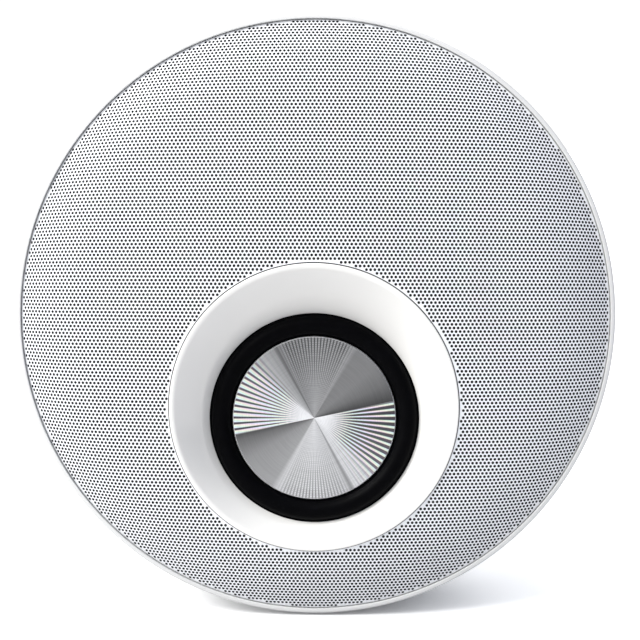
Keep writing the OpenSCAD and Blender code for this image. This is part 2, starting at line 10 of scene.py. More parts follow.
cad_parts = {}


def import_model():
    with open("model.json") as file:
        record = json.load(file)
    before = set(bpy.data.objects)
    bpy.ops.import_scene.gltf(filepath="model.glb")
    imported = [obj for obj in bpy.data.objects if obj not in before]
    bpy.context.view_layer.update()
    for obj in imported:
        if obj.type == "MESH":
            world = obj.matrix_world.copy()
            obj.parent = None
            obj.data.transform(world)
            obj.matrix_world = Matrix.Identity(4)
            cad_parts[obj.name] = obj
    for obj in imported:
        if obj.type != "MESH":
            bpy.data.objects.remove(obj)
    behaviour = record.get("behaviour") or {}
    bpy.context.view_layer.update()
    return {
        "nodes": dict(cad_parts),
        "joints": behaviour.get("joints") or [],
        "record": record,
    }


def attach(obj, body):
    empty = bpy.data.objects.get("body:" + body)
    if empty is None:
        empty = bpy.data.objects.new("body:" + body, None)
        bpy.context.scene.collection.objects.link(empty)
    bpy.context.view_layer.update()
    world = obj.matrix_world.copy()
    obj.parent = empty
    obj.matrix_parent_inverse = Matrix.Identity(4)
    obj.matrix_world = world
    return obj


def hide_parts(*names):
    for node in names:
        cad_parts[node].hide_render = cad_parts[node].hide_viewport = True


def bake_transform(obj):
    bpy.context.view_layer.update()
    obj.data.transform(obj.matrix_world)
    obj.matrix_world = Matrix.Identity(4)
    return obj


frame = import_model()
MM = 0.001

# ---------------------------------------------------------------- the disc's own frame
# All shapes are drawn in millimetres in the leaning disc's frame (x right, y back,
# z up, origin at the centre of the front rim), as in the CAD source.
axis = next(j["axis"] for j in frame["joints"] if j["name"] == "woofer_travel")
LEAN = math.atan2(axis[2], -axis[1])
RIM_R = 120.0
DEPTH_MID = 24.16
RIM_CLEARANCE = 1.0
FLOOR_H = RIM_CLEARANCE + RIM_R * math.cos(LEAN)
TAPER = math.radians(10)
WOOFER_Z = -40.8

# the grille's dome: a shallow crown, then a tighter shoulder that runs down to the rim
GRILLE_R = 118.0
CROWN_R = 451.0
CROWN_TO = 90.0
SHOULDER_R = 73.7
CROWN_A = math.asin(CROWN_TO / CROWN_R)
SHOULDER_X = (CROWN_R - SHOULDER_R) * math.sin(CROWN_A)
RIM_A = math.asin((GRILLE_R - SHOULDER_X) / SHOULDER_R)
SHOULDER_Y = SHOULDER_R * math.cos(RIM_A)
CROWN_Y = SHOULDER_Y + (CROWN_R - SHOULDER_R) * math.cos(CROWN_A)
SHEET_T = 0.8
RECESS_R = 41.4
RECESS_SLOPE = 1.06
SURROUND_Y = -4.0
TRIM_W = 2.6


def world(points):
    """Points of the disc's frame, in millimetres, as world points in metres."""
    p = np.asarray(points, float).reshape(-1, 3)
    c, s = math.cos(LEAN), math.sin(LEAN)
    out = np.empty_like(p)
    out[:, 0] = p[:, 0]
    out[:, 1] = p[:, 1] * c + p[:, 2] * s - DEPTH_MID
    out[:, 2] = -p[:, 1] * s + p[:, 2] * c + FLOOR_H
    return out * MM


def wall_r(y):
    """Radius of the housing's tapered side wall at a depth."""
    return RIM_R - y * math.tan(TAPER)


def dome_at(r):
    """Depth of the grille's outer surface at a distance from the disc's axis."""
    r = np.asarray(r, float)
    crown = CROWN_Y - np.sqrt(CROWN_R**2 - np.minimum(r, CROWN_TO) ** 2)
    shoulder = SHOULDER_Y - np.sqrt(
        np.maximum(SHOULDER_R**2 - (np.maximum(r, CROWN_TO) - SHOULDER_X) ** 2, 0)
    )
    return np.where(r <= CROWN_TO, crown, shoulder)


def dome_angle(s):
    """Slope of the dome at a distance along it from its apex."""
    return np.where(
        s <= CROWN_R * CROWN_A, s / CROWN_R, CROWN_A + (s - CROWN_R * CROWN_A) / SHOULDER_R
    )


def arc_of(r):
    """Distance along the dome from its apex to a radius r."""
    r = np.asarray(r, float)
    a = np.where(
        r <= CROWN_TO,
        np.arcsin(np.minimum(r, CROWN_TO) / CROWN_R),
        np.arcsin(np.clip((r - SHOULDER_X) / SHOULDER_R, -1, 1)),
    )
    return np.where(
        r <= CROWN_TO, a * CROWN_R, CROWN_R * CROWN_A + (a - CROWN_A) * SHOULDER_R
    )


def dome_point(uv, inwards=0.0):
    """Points of the flat sheet laid on the dome without stretching it along its radii."""
    s = np.hypot(uv[:, 0], uv[:, 1])
    a = dome_angle(s)
    on_crown = s <= CROWN_R * CROWN_A
    r = np.where(on_crown, CROWN_R * np.sin(a), SHOULDER_X + SHOULDER_R * np.sin(a))
    y = np.where(on_crown, CROWN_Y - CROWN_R * np.cos(a), SHOULDER_Y - SHOULDER_R * np.cos(a))
    r = r - inwards * np.sin(a)
    y = y + inwards * np.cos(a)
    k = r / np.maximum(s, 1e-9)
    return np.stack([uv[:, 0] * k, y, uv[:, 1] * k], 1)


# ---------------------------------------------------------------- mesh helpers
def mesh_object(name, points, faces, material, body="speaker", sharp=35):
    """A mesh from points in the disc's frame and one or more arrays of equal-length faces."""
    me = bpy.data.meshes.new(name)
    co = world(points)
    groups = faces if isinstance(faces, list) else [faces]
    me.vertices.add(len(co))
    me.vertices.foreach_set("co", co.ravel())
    loops = np.concatenate([np.asarray(f, np.int32).ravel() for f in groups])
    sizes = np.concatenate([np.full(len(f), np.asarray(f).shape[1]) for f in groups])
    me.loops.add(len(loops))
    me.loops.foreach_set("vertex_index", loops)
    me.polygons.add(len(sizes))
    me.polygons.foreach_set("loop_start", np.concatenate([[0], np.cumsum(sizes)[:-1]]))
    me.update(calc_edges=True)
    me.validate()
    me.polygons.foreach_set("use_smooth", np.ones(len(me.polygons), bool))
    me.set_sharp_from_angle(angle=math.radians(sharp))
    ob = bpy.data.objects.new(name, me)
    bpy.context.scene.collection.objects.link(ob)
    for m in material if isinstance(material, (list, tuple)) else [material]:
        me.materials.append(m)
    if body:
        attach(ob, body)
    return ob


def lathe(profile, segments, x=0.0, z=0.0, closed=True):
    """Turns [radius, depth] points about an axis parallel to the disc's; the profile runs so
    that the solid lies on its left when the radius points right and the depth points up."""
    prof = np.asarray(profile, float)
    n = len(prof)
    t = np.linspace(0, 2 * math.pi, segments, endpoint=False)
    pts = np.empty((segments, n, 3))
    pts[:, :, 0] = x + np.sin(t)[:, None] * prof[None, :, 0]
    pts[:, :, 1] = prof[None, :, 1]
    pts[:, :, 2] = z + np.cos(t)[:, None] * prof[None, :, 0]
    return pts.reshape(-1, 3), ring_faces(segments, n, closed)


def ring_faces(segments, n, closed=True):
    """Quads between the profiles of a lathe of n points each."""
    i = np.arange(segments)
    j = np.arange(n if closed else n - 1)
    a = (i[:, None] * n + j[None, :]).ravel()
    b = (i[:, None] * n + (j[None, :] + 1) % n).ravel()
    c = (((i + 1) % segments)[:, None] * n + (j[None, :] + 1) % n).ravel()
    d = (((i + 1) % segments)[:, None] * n + j[None, :]).ravel()
    return np.stack([a, b, c, d], 1)


def fillet(corners, steps=6):
    """A closed outline with rounded corners; each corner is (u, v, radius)."""
    out = []
    n = len(corners)
    for i, (u, v, r) in enumerate(corners):
        p = np.array([u, v], float)
        if r <= 0:
            out.append(p)
            continue
        a = np.array(corners[i - 1][:2], float) - p
        b = np.array(corners[(i + 1) % n][:2], float) - p
        la, lb = np.linalg.norm(a), np.linalg.norm(b)
        a, b = a / la, b / lb
        half = math.acos(max(-1, min(1, float(a @ b)))) / 2
        cut = min(r / math.tan(half), 0.49 * la, 0.49 * lb)
        r = cut * math.tan(half)
        mid = (a + b) / np.linalg.norm(a + b)
        centre = p + mid * (r / math.sin(half))
        p0, p1 = p + a * cut - centre, p + b * cut - centre
        a0 = math.atan2(p0[1], p0[0])
        turn = (math.atan2(p1[1], p1[0]) - a0 + math.pi) % (2 * math.pi) - math.pi
        for k in range(steps + 1):
            w = a0 + turn * k / steps
            out.append(centre + r * np.array([math.cos(w), math.sin(w)]))
    return np.array(out)


# ---------------------------------------------------------------- materials
def node(nt, kind, **settings):
    """A shader node; a setting with a capital is one of its sockets, another a property."""
    n = nt.nodes.new("ShaderNode" + kind)
    for key, value in settings.items():
        if key[0].isupper():
            n.inputs[key.replace("_", " ")].default_value = value
        else:
            setattr(n, key, value)
    return n


def start_material(name, color, roughness, metallic=0.0, **sockets):
    """A material whose constants sit on the shader's own sockets."""
    mat = bpy.data.materials.new(name)
    mat.use_nodes = True
    nt = mat.node_tree
    bsdf = nt.nodes["Principled BSDF"]
    bsdf.inputs["Base Color"].default_value = (*color, 1)
    bsdf.inputs["Roughness"].default_value = roughness
    bsdf.inputs["Metallic"].default_value = metallic
    for key, value in sockets.items():
        bsdf.inputs[key.replace("_", " ")].default_value = value
    return mat, nt, bsdf


def noise(nt, scale, detail=3.0, roughness=0.55, vector=None):
    """Noise in object space, or along another vector."""
    tex = node(nt, "TexNoise", Scale=scale, Detail=detail, Roughness=roughness)
    if vector is None:
        vector = node(nt, "TexCoord").outputs["Object"]
    nt.links.new(vector, tex.inputs["Vector"])
    return tex.outputs["Fac"]


def math_node(nt, op, *values):
    """A sum of sockets and numbers."""
    n = node(nt, "Math", operation=op)
    for i, v in enumerate(values):
        if isinstance(v, (int, float)):
            n.inputs[i].default_value = v
        else:
            nt.links.new(v, n.inputs[i])
    return n.outputs[0]


def map_range(nt, value, from_min, from_max, to_min, to_max, smooth=False):
    n = node(nt, "MapRange")
    if smooth:
        n.interpolation_type = "SMOOTHSTEP"
    nt.links.new(value, n.inputs["Value"])
    ends = {"From Min": from_min, "From Max": from_max, "To Min": to_min, "To Max": to_max}
    for key, v in ends.items():
        n.inputs[key].default_value = v
    return n.outputs["Result"]


def ramp(nt, value, stops):
    """A colour ramp from (position, colour) stops."""
    n = node(nt, "ValToRGB")
    cr = n.color_ramp
    while len(cr.elements) < len(stops):
        cr.elements.new(0.5)
    for e, (pos, color) in zip(cr.elements, sorted(stops)):
        e.position = pos
        e.color = (*color, 1)
    nt.links.new(value, n.inputs["Fac"])
    return n.outputs["Color"]


def mix_color(nt, fac, a, b, blend="MIX"):
    """Two colours mixed; 0, 6 and 7 are the Mix node's factor and colour sockets."""
    n = node(nt, "Mix", data_type="RGBA", blend_type=blend)
    for key, v in ((0, fac), (6, a), (7, b)):
        if isinstance(v, (int, float)):
            n.inputs[key].default_value = v
        elif isinstance(v, tuple):
            n.inputs[key].default_value = (*v, 1)
        else:
            nt.links.new(v, n.inputs[key])
    return n.outputs[2]


def bump(nt, bsdf, height, distance, strength=1.0):
    n = node(nt, "Bump", Strength=strength, Distance=distance)
    nt.links.new(height, n.inputs["Height"])
    nt.links.new(n.outputs["Normal"], bsdf.inputs["Normal"])


def local_coords(nt, x=0.0, y=0.0, z=0.0):
    """The three coordinates in the disc's frame, in millimetres, about a point of it."""
    centre = world([[x, y, z]])[0]
    m = node(nt, "Mapping", vector_type="TEXTURE")
    m.inputs["Location"].default_value = tuple(centre)
    m.inputs["Rotation"].default_value = (-LEAN, 0, 0)
    m.inputs["Scale"].default_value = (MM, MM, MM)
    nt.links.new(node(nt, "TexCoord").outputs["Object"], m.inputs["Vector"])
    sep = node(nt, "SeparateXYZ")
    nt.links.new(m.outputs["Vector"], sep.inputs[0])
    return sep.outputs


def plastic(name, color, roughness, grain=2500.0, depth=0.00002, tint=0.02, **sockets):
    """Moulded plastic: a fine spark-eroded texture and a faint variation of tone."""
    mat, nt, bsdf = start_material(name, color, roughness, **sockets)
    dark = tuple(c * (1 - tint) for c in color)
    light = tuple(min(1, c * (1 + tint * 0.5)) for c in color)
    tone = ramp(nt, noise(nt, 60), [(0.3, dark), (0.7, light)])
    nt.links.new(tone, bsdf.inputs["Base Color"])
    bump(nt, bsdf, noise(nt, grain, 2), depth)
    return mat


def metal(name, color, roughness, brushed=(400, 400, 4000)):
    """Metal with fine streaks; brushed is their density along x, y and z."""
    mat, nt, bsdf = start_material(name, color, roughness, 1.0)
    m = node(nt, "Mapping")
    m.inputs["Scale"].default_value = brushed
    nt.links.new(node(nt, "TexCoord").outputs["Object"], m.inputs["Vector"])
    streak = noise(nt, 1.0, 4, 0.6, m.outputs["Vector"])
    dark = tuple(c * 0.86 for c in color)
    nt.links.new(ramp(nt, streak, [(0.25, dark), (0.75, color)]), bsdf.inputs["Base Color"])
    gloss = map_range(nt, streak, 0.2, 0.8, roughness * 0.8, roughness * 1.25)
    nt.links.new(gloss, bsdf.inputs["Roughness"])
    bump(nt, bsdf, streak, 0.00001)
    return mat


# counts and steps of the painted reflection pattern on the disc; the last is the step of the real cuts'
# bump
DISC_GLINT_STRIPES = 84
DISC_GLINT_RAYS = 153.0
DISC_GLINT_RING_STEP = 0.72
DISC_CUT_STEP = 0.18


def sectors(stops):
    """Ramp stops of grey values from (degrees, value) pairs."""
    return [(degrees / 360.0, (v, v, v)) for degrees, v in stops]


def disc_aluminium():
    """Diamond-turned aluminium with fine concentric cuts as a bump; the light wedges, stripes, rays and
    rainbow tints that the cuts throw are painted reflections in the base colour.
    """
    mat, nt, bsdf = start_material("disc_aluminium_painted_reflections", (0.9, 0.9, 0.91), 0.42, 1.0, Anisotropic=0.35)
    xyz = local_coords(nt, 0, SURROUND_Y, WOOFER_Z)

    def calc(op, *values):
        return math_node(nt, op, *values)

    turn = calc("ARCTAN2", xyz[2], xyz[0])
    radius = calc("SQRT", calc("ADD", calc("POWER", xyz[0], 2), calc("POWER", xyz[2], 2)))
    full = calc("FRACT", calc("ADD", calc("DIVIDE", turn, 2 * math.pi), 1.0))

    # painted reflection: the brightness of each wedge, by the angle from the right, counter-clockwise
    tone = ramp(nt, full, sectors([
        (0, 1.0), (11.2, 1.0), (11.8, 0.07), (15, 0.10), (26, 0.19), (40, 0.25), (58, 0.25),
        (62, 0.42), (88, 0.52), (116, 0.40), (118.5, 0.16), (121, 0.38), (134, 0.58),
        (144, 1.0), (170, 1.0), (191.2, 1.0), (191.8, 0.09), (197, 0.18), (212, 0.32),
        (238, 0.40), (243, 0.72), (270, 0.92), (295, 0.76), (298.5, 0.30), (301, 0.86),
        (318, 1.0), (326, 1.0), (345, 1.0), (360, 1.0),
    ]))
    # painted reflection: how much the radial light stripes show in each wedge
    glint_strength = ramp(nt, full, sectors([
        (0, 1.0), (11.4, 1.0), (11.6, 0.0), (58, 0.0), (64, 0.0), (130, 0.1), (140, 0.9),
        (191.4, 1.0), (191.6, 0.0), (300, 0.0), (312, 0.3), (322, 0.9), (360, 1.0),
    ]))
    # painted reflection: share of a stripe that is bright
    share = ramp(nt, full, sectors([
        (0, 0.38), (11.4, 0.38), (60, 0.5), (140, 0.62), (190, 0.62),
        (240, 0.5), (310, 0.62), (335, 0.42), (360, 0.38),
    ]))
    # painted reflection: how much the fine grid of thin rays and rings shows
    fine = ramp(nt, full, sectors([
        (0, 0.0), (59, 0.0), (66, 0.9), (88, 1.0), (112, 0.9), (119, 0.0), (240, 0.0),
        (248, 0.6), (270, 0.8), (292, 0.6), (298, 0.0), (304, 0.3), (318, 0.2), (322, 0.0), (360, 0.0),
    ]))
    grow = map_range(nt, radius, 3.0, 17.0, 0.0, 1.0, True)
    stripe_turn = calc("MULTIPLY", turn, DISC_GLINT_STRIPES / 2 / math.pi)

    # painted reflection: dark gaps between the bright stripes
    wave = calc("FRACT", calc("ADD", stripe_turn, 10.03))
    wave = calc("MULTIPLY", calc("ABSOLUTE", calc("SUBTRACT", wave, 0.5)), 2.0)
    stripe = map_range(nt, calc("SUBTRACT", wave, share), -0.13, 0.13, 0.0, 1.0, True)
    stripe = calc("MULTIPLY", calc("MULTIPLY", stripe, glint_strength), grow)

    # painted reflection: thin rays and rings, then faint broken arcs
    thin = map_range(nt, calc("SINE", calc("MULTIPLY", turn, DISC_GLINT_RAYS)), -0.5, 0.8, 0.0, 1.0)
    rings = calc("SINE", calc("MULTIPLY", radius, 2 * math.pi / DISC_GLINT_RING_STEP))
    rings = map_range(nt, rings, -0.6, 0.9, 0.0, 0.6)
    grid = calc("MULTIPLY", calc("MAXIMUM", thin, rings), fine)
    grid = calc("MULTIPLY", grid, map_range(nt, radius, 2.0, 30.0, 0.25, 1.0))
    arc_space = node(nt, "CombineXYZ")
    nt.links.new(calc("MULTIPLY", radius, 2.2), arc_space.inputs[0])
    nt.links.new(calc("MULTIPLY", turn, 1.5), arc_space.inputs[1])
    arcs = map_range(nt, noise(nt, 1.0, 1, 0.5, arc_space.outputs[0]), 0.35, 0.65, 0.0, 0.09)
    grid = calc("ADD", grid, arcs)
    glint_darkening = calc(
        "MULTIPLY",
        calc("SUBTRACT", 1.0, calc("MULTIPLY", stripe, 0.9)),
        calc("SUBTRACT", 1.0, calc("MULTIPLY", grid, 0.8)),
    )

    # painted reflection: rainbow tints of diffraction where the stripes show most
    hue = node(nt, "CombineColor", mode="HSV")
    hue_turn = calc("FRACT", calc("ADD", stripe_turn, calc("MULTIPLY", radius, 0.06)))
    nt.links.new(hue_turn, hue.inputs[0])
    hue.inputs[1].default_value = 0.55
    hue.inputs[2].default_value = 1.0
    tint = calc("MULTIPLY", calc("MULTIPLY", glint_strength, grow), 0.30)
    painted_rainbow = mix_color(nt, tint, (1.0, 1.0, 1.0), hue.outputs[0])
    # the wedges, stripes and grid together: the painted reflections that make the base colour
    shade = mix_color(nt, 1.0, tone, glint_darkening, "MULTIPLY")
    nt.links.new(mix_color(nt, 1.0, shade, painted_rainbow, "MULTIPLY"), bsdf.inputs["Base Color"])

    cuts = calc("SINE", calc("MULTIPLY", radius, 2 * math.pi / DISC_CUT_STEP))
    bump(nt, bsdf, cuts, 0.000004, 0.6)
    tangent = node(nt, "Tangent", direction_type="RADIAL", axis="Y")
    nt.links.new(tangent.outputs[0], bsdf.inputs["Tangent"])
    return mat


def rubber():
    """Matt black rubber with hardly any sheen."""
    color = (0.001, 0.001, 0.0014)
    mat, nt, bsdf = start_material("surround_rubber", color, 0.4, Specular_IOR_Level=0.03)
    tone = ramp(nt, noise(nt, 300), [(0.3, (0.0008, 0.0008, 0.0011)), (0.7, (0.0014, 0.0014, 0.002))])
    nt.links.new(tone, bsdf.inputs["Base Color"])
    nt.links.new(map_range(nt, noise(nt, 900), 0.3, 0.7, 0.36, 0.5), bsdf.inputs["Roughness"])
    bump(nt, bsdf, noise(nt, 5000, 2), 0.00001)
    return mat


def cloth(name, color, pitch, depth=0.00008):
    """Plain weave: two sets of threads over and under each other."""
    mat, nt, bsdf = start_material(name, color, 0.9, Sheen_Weight=0.3)
    xyz = local_coords(nt)
    warp = math_node(nt, "SINE", math_node(nt, "MULTIPLY", xyz[0], 2 * math.pi / pitch))
    weft = math_node(nt, "SINE", math_node(nt, "MULTIPLY", xyz[2], 2 * math.pi / pitch))
    over = math_node(nt, "MULTIPLY", warp, weft)
    dark = tuple(c * 0.6 for c in color)
    tone = ramp(nt, map_range(nt, over, -1, 1, 0, 1), [(0.2, dark), (0.8, color)])
    nt.links.new(tone, bsdf.inputs["Base Color"])
    nt.links.new(map_range(nt, noise(nt, 800), 0.3, 0.7, 0.8, 1.0), bsdf.inputs["Roughness"])
    bump(nt, bsdf, over, depth)
    return mat


# one material for each slot of the record
WHITE = (0.66, 0.66, 0.65)
SLOTS = {
    "housing_white": plastic(
        "moulded_white", WHITE, 0.30, 2200, 0.000004, 0.015, Coat_Weight=0.15, Coat_Roughness=0.2
    ),
    "grille_white": plastic("grille_enamel", (0.82, 0.83, 0.85), 0.42, 1800, 0.000006, 0.02),
    "trim_white": plastic(
        "trim_gloss", (0.83, 0.82, 0.79), 0.16, 900, 0.000002, 0.01, Coat_Weight=0.5, Coat_Roughness=0.06
    ),
    "disc_aluminium": disc_aluminium(),
    "rubber_black": rubber(),
    "foot_rubber": plastic("foot_rubber_dark", (0.03, 0.03, 0.032), 0.8, 1500, 0.00004, 0.15),
    "scrim_cloth": cloth("scrim_weave", (0.006, 0.006, 0.007), 0.5),
    "felt_grey": plastic("felt_fibres", (0.22, 0.22, 0.23), 1.0, 1200, 0.0002, 0.2),
    "spider_cloth": cloth("spider_weave", (0.35, 0.22, 0.10), 0.6),
    "black_plastic": plastic("moulded_black", (0.025, 0.025, 0.027), 0.45, 1800, 0.00002, 0.1),
    "steel": metal("zinc_steel", (0.62, 0.62, 0.61), 0.3),
    "magnet": plastic("ferrite", (0.06, 0.06, 0.065), 0.55, 900, 0.00003, 0.15),
    "board_green": plastic("solder_mask", (0.02, 0.16, 0.07), 0.35, 300, 0.00002, 0.15),
    "heat_sink_black": metal("anodised_black", (0.05, 0.05, 0.055), 0.4),
    "copper": metal("enamelled_copper", (0.75, 0.33, 0.14), 0.3, (400, 6000, 400)),
    "cone_paper": plastic("cone_pulp", (0.03, 0.03, 0.033), 0.85, 700, 0.00008, 0.25),
    "lens_clear": plastic(
        "light_pipe", (0.75, 0.80, 0.82), 0.2, 300, 0.000002, 0.02, Transmission_Weight=0.4
    ),
    "lead_red": plastic("lead_jacket", (0.45, 0.03, 0.03), 0.4, 600, 0.00001, 0.08),
    "key_white": plastic("key_satin", WHITE, 0.38, 2600, 0.000004, 0.015),
    "slider_orange": plastic("slider_cap", (0.85, 0.22, 0.04), 0.4, 1500, 0.00001, 0.05),
}
for row in frame["record"]["subparts"]:
    ob = frame["nodes"][row["node"]]
    ob.data.materials.clear()
    ob.data.materials.append(SLOTS[row["material_slot"]])


# ---------------------------------------------------------------- grille
# The sheet is laid out flat, in (u, v) millimetres from the dome's apex, and then bent.
# near-black back and hole walls: painted shade that keeps the holes dark
GRILLE_HOLE_SHADE = plastic("grille_back_painted_shade", (0.006, 0.006, 0.007), 0.85, 1800, 0.000006, 0.1)
PITCH = 1.63
ROW = PITCH * math.sqrt(3) / 2
CELL_R = PITCH / math.sqrt(3)
HOLE_R = 0.57
HOLE_STEPS = 12
LEAST_ROOM = HOLE_R + 0.12
PLAIN_RIM = 0.25
TRIM_GAP = 0.35
RIM_SEGMENTS = 720
SECTORS = 6
SKIRT_Y = 3.5


def trim_edge(segments, grow):
    """Where the recess cone, moved outwards by grow, meets the dome, as (x, z) points."""
    t = np.linspace(0, 2 * math.pi, segments, endpoint=False)
    rho = np.full(segments, RECESS_R + 12.0)
    for _ in range(60):
        x, z = rho * np.sin(t), WOOFER_Z + rho * np.cos(t)
        rho = RECESS_R + grow + RECESS_SLOPE * (SURROUND_Y - dome_at(np.hypot(x, z)))
    return t, rho


def flat_of(x, z):
    """Where a point of the dome lies on the flat sheet."""
    r = np.hypot(x, z)
    k = arc_of(r) / np.maximum(r, 1e-9)
    return np.stack([x * k, z * k], 1)


def distance_to_loop(points, loop):
    """Distance from each point to a closed polyline."""
    best = np.full(len(points), 1e9)
    for a, b in zip(loop, np.roll(loop, -1, axis=0)):
        d = b - a
        t = np.clip(((points - a) @ d) / max(d @ d, 1e-12), 0, 1)
        best = np.minimum(best, np.linalg.norm(points - (a + t[:, None] * d), axis=1))
    return best


def inside_loop(points, loop):
    """Whether each point lies inside a closed polyline."""
    inside = np.zeros(len(points), bool)
    for a, b in zip(loop, np.roll(loop, -1, axis=0)):
        cross = (a[1] > points[:, 1]) != (b[1] > points[:, 1])
        if cross.any():
            xs = (b[0] - a[0]) * (points[:, 1] - a[1]) / (b[1] - a[1] + 1e-15) + a[0]
            inside ^= cross & (points[:, 0] < xs)
    return inside


def place_key(points, per_mm):
    """One whole number for each place, the same for points that lie on each other."""
    k = np.round(points * per_mm).astype(np.int64) + 10**6
    return k[:, 0] * 10**7 + k[:, 1]


def hole_outline():
    a = np.radians(360 / HOLE_STEPS * np.arange(HOLE_STEPS))
    return HOLE_R * np.stack([np.cos(a), np.sin(a)], 1)


def hole_centres(rim, trim_loop):
    """Centres of the holes whose hexagonal cell is whole, and of those that a border cuts."""
    n = int(rim / ROW) + 2
    j, i = np.meshgrid(np.arange(-n, n + 1), np.arange(-n - 2, n + 3), indexing="ij")
    centres = np.stack([(i + 0.5 * (j % 2)).ravel() * PITCH, j.ravel() * ROW], 1)
    room = rim - np.hypot(centres[:, 0], centres[:, 1])
    centres, room = centres[room > LEAST_ROOM], room[room > LEAST_ROOM]
    from_woofer = np.hypot(centres[:, 0], centres[:, 1] - WOOFER_Z)
    near = np.abs(from_woofer - 58) < 12
    room[near] = np.minimum(room[near], distance_to_loop(centres[near], trim_loop))
    outside = ~inside_loop(centres, trim_loop)
    whole = outside & (room > CELL_R + 0.02)
    return centres[whole], centres[outside & (room > LEAST_ROOM) & ~whole]


def whole_cells(whole):
    """Hexagons with round holes: their points, corner numbers and triangles."""
    corner_a = np.radians(30 + 60 * np.arange(6))
    hexagon = CELL_R * np.stack([np.cos(corner_a), np.sin(corner_a)], 1)
    corners = (whole[:, None, :] + hexagon[None]).reshape(-1, 2)
    _, first, inverse = np.unique(place_key(corners, 1000), return_index=True, return_inverse=True)
    corner_id = inverse.reshape(-1, 6)
    rings = (whole[:, None, :] + hole_outline()[None]).reshape(-1, 2)
    ring_id = len(first) + np.arange(len(rings)).reshape(-1, HOLE_STEPS)
    triangles = []
    for m in range(6):
        c0, c1 = corner_id[:, m], corner_id[:, (m + 1) % 6]
        r0, r1, r2 = (ring_id[:, (2 * m + k) % HOLE_STEPS] for k in range(3))
        triangles += [np.stack(three, 1) for three in ((r0, c0, r1), (r1, c0, r2), (r2, c0, c1))]
    return np.concatenate([corners[first], rings]), corner_id, triangles


def open_edges(corner_id):
    """The cells' edges that no neighbour shares."""
    edges = np.stack([corner_id, np.roll(corner_id, -1, axis=1)], 2).reshape(-1, 2)
    key = np.sort(edges, 1)
    key = key[:, 0] * 10**7 + key[:, 1]
    _, first, count = np.unique(key, return_index=True, return_counts=True)
    return edges[first[count == 1]]


def nearest_centre(points):
    """The hole centre nearest to each point, and the square of its distance."""
    rows = np.round(points[:, 1:] / ROW) + np.array([-1, 0, 1])
    shift = 0.5 * (rows % 2)
    x = (np.round(points[:, :1] / PITCH - shift) + shift) * PITCH
    y = rows * ROW
    d = (x - points[:, :1]) ** 2 + (y - points[:, 1:]) ** 2
    at = np.arange(len(points)), np.argmin(d, axis=1)
    return np.stack([x[at], y[at]], 1), d[at]


def border_fill(cell_xy, edges, whole, cut, rim, trim_loop):
    """Triangles between the whole cells, the cut cells' holes, the rim and the trim gap."""
    used, back = np.unique(edges, return_inverse=True)
    t = np.linspace(0, 2 * math.pi, RIM_SEGMENTS, endpoint=False)
    loops = [rim * np.stack([np.sin(t), np.cos(t)], 1), trim_loop]
    loops += [centre + hole_outline() for centre in cut]
    lines = back.reshape(-1, 2).tolist()
    base = len(used)
    for loop in loops:
        m = len(loop)
        lines += [(base + k, base + (k + 1) % m) for k in range(m)]
        base += m
    points = [Vector(p) for p in np.concatenate([cell_xy[used]] + loops)]
    out = delaunay_2d_cdt(points, lines, [], 0, 1e-5)
    xy = np.array([tuple(p) for p in out[0]])
    fill = np.array([f for f in out[2] if len(f) == 3])

    # drop what lies past the borders, in a whole cell or in a hole, and slivers without area
    mid = xy[fill].mean(1)
    a, b, c = (xy[fill[:, k]] for k in range(3))
    area = np.cross(b - a, c - a)
    centre, distance2 = nearest_centre(mid)
    in_cell = np.isin(place_key(centre, 1000), place_key(whole, 1000))
    in_hole = np.isin(place_key(centre, 1000), place_key(cut, 1000))
    in_hole &= distance2 < (HOLE_R * math.cos(math.pi / HOLE_STEPS)) ** 2 * 0.98
    keep = (np.hypot(mid[:, 0], mid[:, 1]) < rim) & ~inside_loop(mid, trim_loop)
    keep &= (np.abs(area) > 1e-7) & ~in_cell & ~in_hole
    fill[area < 0] = fill[area < 0][:, ::-1]
    return xy, fill[keep]


def sheet_piece(name, uv_all, triangles_all):
    """One sector of the sheet: its white front, and its back, hole walls and edges in near-black painted
    shade.
    """
    ids, local = np.unique(triangles_all, return_inverse=True)
    front = local.reshape(-1, 3)
    uv = uv_all[ids]
    m = len(uv)
    pts = np.concatenate([dome_point(uv), dome_point(uv, SHEET_T)])
    edges = np.concatenate([front[:, [0, 1]], front[:, [1, 2]], front[:, [2, 0]]])
    forward = edges[:, 0].astype(np.int64) * m + edges[:, 1]
    reverse = edges[:, 1].astype(np.int64) * m + edges[:, 0]
    rim = edges[~np.isin(forward, reverse)]
    walls = np.stack([rim[:, 1], rim[:, 0], rim[:, 0] + m, rim[:, 1] + m], 1)
    # a counter-clockwise turn in (x, z) faces the front, towards -y
    faces = [front, front[:, ::-1] + m, walls]
    ob = mesh_object(name, pts, faces, [SLOTS["grille_white"], GRILLE_HOLE_SHADE])
    # the back, hole walls and edges take the near-black painted shade
    dark = np.ones(len(ob.data.polygons), np.int32)
    dark[: len(front)] = 0
    ob.data.polygons.foreach_set("material_index", dark)
    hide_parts("grille")


